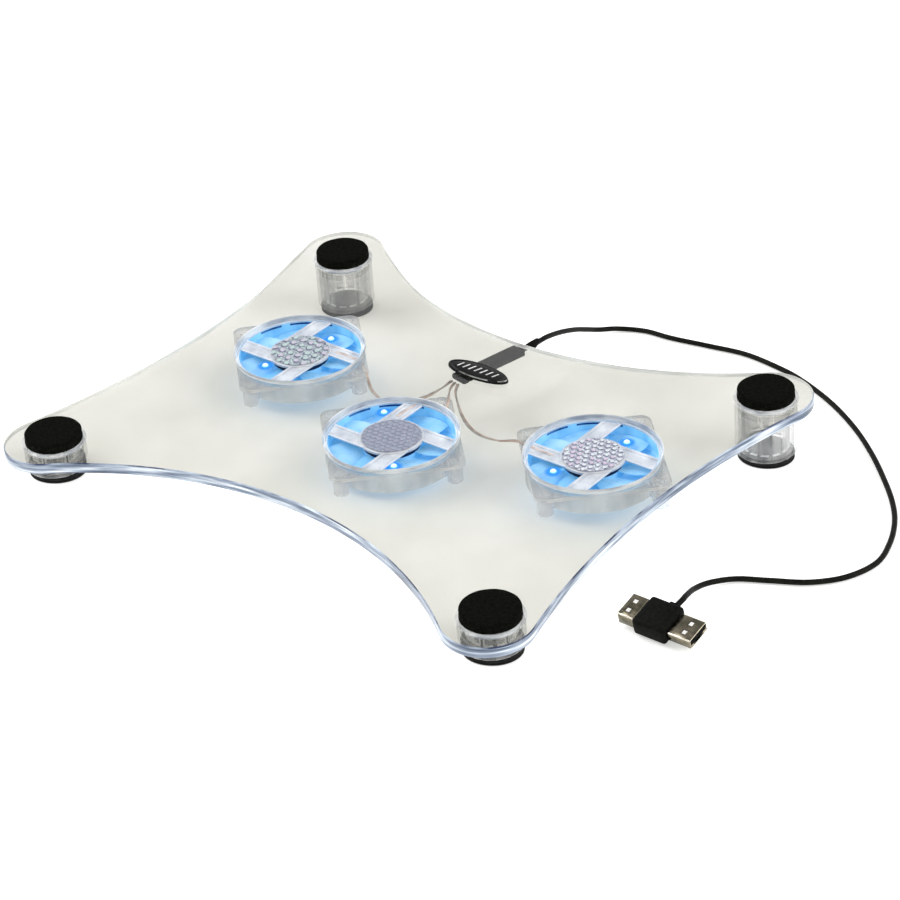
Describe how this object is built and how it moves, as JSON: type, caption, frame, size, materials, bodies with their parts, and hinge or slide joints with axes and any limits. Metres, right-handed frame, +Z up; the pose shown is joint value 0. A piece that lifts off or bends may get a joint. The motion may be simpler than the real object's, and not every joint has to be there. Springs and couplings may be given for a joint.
{
  "type": "laptop cooling pad",
  "caption": "Clear acrylic laptop cooling pad with fans hung in round openings, foam-topped snap-in feet, lit fan hubs and a USB cord with a pass-through plug.",
  "frame": {"origin": "centre of the pad's outline, on the table surface that its rubber feet stand on", "axes": "+X to the right along the laptop's width, +Y to the raised rear edge where the cord leaves, +Z up"},
  "size_m": [0.3621, 0.3006, 0.036],
  "materials": {
    "acrylic": "clear, polished",
    "clear_plastic": "clear, moulded gloss",
    "foam": "matte closed-cell foam",
    "rubber": "matte",
    "blue_plastic": "translucent gloss",
    "motor_board": "matte",
    "motor_iron": "satin",
    "brass": "satin",
    "steel": "polished",
    "led_lens": "gloss",
    "sticker": "embossed foil, gloss",
    "gloss_black": "gloss",
    "matte_black": "matte",
    "cord_black": "satin",
    "lead_insulation": "satin",
    "nickel": "satin"
  },
  "bodies": {
    "pad": {"base_plate": "acrylic", "badge": "gloss_black", "cable_cover": "matte_black", "wire_outlet": "matte_black", "strain_relief": "matte_black", "usb_cord": "cord_black", "usb_body": "matte_black", "usb_plug_shell": "nickel", "usb_socket_shell": "nickel", "usb_plug_tongue": "matte_black", "usb_socket_tongue": "matte_black", "foam_pad_front_left": "foam", "foot_cap_front_left": "clear_plastic", "foot_leg_front_left": "clear_plastic", "rubber_foot_front_left": "rubber", "foam_pad_front_right": "foam", "foot_cap_front_right": "clear_plastic", "foot_leg_front_right": "clear_plastic", "rubber_foot_front_right": "rubber", "foam_pad_rear_left": "foam", "foot_cap_rear_left": "clear_plastic", "foot_leg_rear_left": "clear_plastic", "rubber_foot_rear_left": "rubber", "foam_pad_rear_right": "foam", "foot_cap_rear_right": "clear_plastic", "foot_leg_rear_right": "clear_plastic", "rubber_foot_rear_right": "rubber", "fan_housing_1": "clear_plastic", "fan_bearing_1": "brass", "fan_stator_1": "motor_iron", "fan_board_1": "motor_board", "fan_label_1": "sticker", "fan_led_1a": "led_lens", "fan_led_1b": "led_lens", "fan_lead_1": "lead_insulation", "fan_housing_2": "clear_plastic", "fan_bearing_2": "brass", "fan_stator_2": "motor_iron", "fan_board_2": "motor_board", "fan_label_2": "sticker", "fan_led_2a": "led_lens", "fan_led_2b": "led_lens", "fan_lead_2": "lead_insulation", "fan_housing_3": "clear_plastic", "fan_bearing_3": "brass", "fan_stator_3": "motor_iron", "fan_board_3": "motor_board", "fan_label_3": "sticker", "fan_led_3a": "led_lens", "fan_led_3b": "led_lens", "fan_lead_3": "lead_insulation"},
    "fan_1_rotor": {"fan_rotor_1": "blue_plastic", "fan_shaft_1": "steel"},
    "fan_2_rotor": {"fan_rotor_2": "blue_plastic", "fan_shaft_2": "steel"},
    "fan_3_rotor": {"fan_rotor_3": "blue_plastic", "fan_shaft_3": "steel"}
  },
  "joints": [
    {"name": "fan_1_spin", "type": "hinge", "parent": "pad", "child": "fan_1_rotor", "pos_m": [-0.081, 0.01959, 0.02296], "axis": [0, -0.0732, 0.9973], "continuous": true},
    {"name": "fan_2_spin", "type": "hinge", "parent": "pad", "child": "fan_2_rotor", "pos_m": [0.0033, -0.01571, 0.02037], "axis": [0, -0.0732, 0.9973], "continuous": true},
    {"name": "fan_3_spin", "type": "hinge", "parent": "pad", "child": "fan_3_rotor", "pos_m": [0.0876, 0.01959, 0.02296], "axis": [0, -0.0732, 0.9973], "continuous": true}
  ]
}
